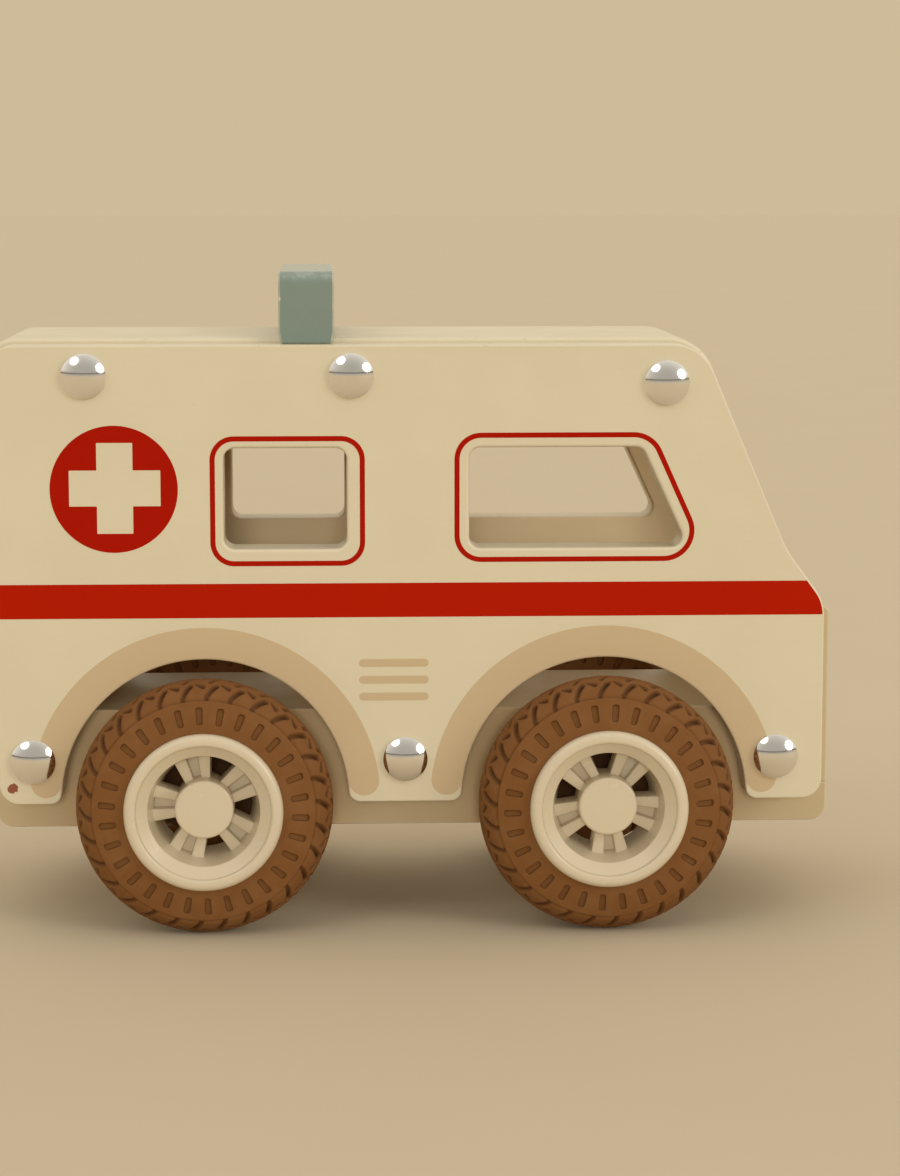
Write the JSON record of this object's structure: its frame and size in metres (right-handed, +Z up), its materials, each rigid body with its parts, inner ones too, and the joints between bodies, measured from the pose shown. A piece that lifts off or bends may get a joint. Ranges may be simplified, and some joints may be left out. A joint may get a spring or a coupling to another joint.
{
  "type": "toy ambulance",
  "caption": "Wooden push-along toy ambulance: painted side panels nailed to a chassis and roof plank, open windows, roof light bar, and tyred wheels on turning axles.",
  "frame": {"origin": "on the ground, under the middle of the toy's overall length and width", "axes": "+X towards the front of the vehicle, +Y towards its left side, +Z up"},
  "size_m": [0.169, 0.09, 0.1308],
  "materials": {
    "panel_paint": "cream satin paint with printed stripe, first-aid cross, window outlines and tan wheel-arch bands",
    "plank_paint": "cream satin paint",
    "light_bar_paint": "blue-grey satin paint",
    "dowel_wood": "bare beech",
    "nail_chrome": "polished",
    "axle_steel": "drawn wire",
    "washer_steel": "zinc plated",
    "rim_plastic": "cream moulded plastic",
    "tyre_rubber": "brown moulded rubber with tread grooves and sidewall slots"
  },
  "bodies": {
    "body": {"chassis_plank": "plank_paint", "right_side_panel": "panel_paint", "left_side_panel": "panel_paint", "roof_plank": "plank_paint", "nose_board": "plank_paint", "rear_board": "plank_paint", "light_bar": "light_bar_paint", "light_bar_dowels": "dowel_wood", "right_roof_nails": "nail_chrome", "left_roof_nails": "nail_chrome", "right_chassis_nails": "nail_chrome", "left_chassis_nails": "nail_chrome"},
    "front_wheelset": {"front_axle": "axle_steel", "front_right_washer": "washer_steel", "front_left_washer": "washer_steel", "front_right_rim": "rim_plastic", "front_left_rim": "rim_plastic", "front_right_tyre": "tyre_rubber", "front_left_tyre": "tyre_rubber"},
    "rear_wheelset": {"rear_axle": "axle_steel", "rear_right_washer": "washer_steel", "rear_left_washer": "washer_steel", "rear_right_rim": "rim_plastic", "rear_left_rim": "rim_plastic", "rear_right_tyre": "tyre_rubber", "rear_left_tyre": "tyre_rubber"}
  },
  "joints": [
    {"name": "front_axle_spin", "type": "hinge", "parent": "body", "child": "front_wheelset", "pos_m": [0.038, 0, 0.0255], "axis": [0, 1, 0], "continuous": true},
    {"name": "rear_axle_spin", "type": "hinge", "parent": "body", "child": "rear_wheelset", "pos_m": [-0.042, 0, 0.0255], "axis": [0, 1, 0], "continuous": true}
  ]
}
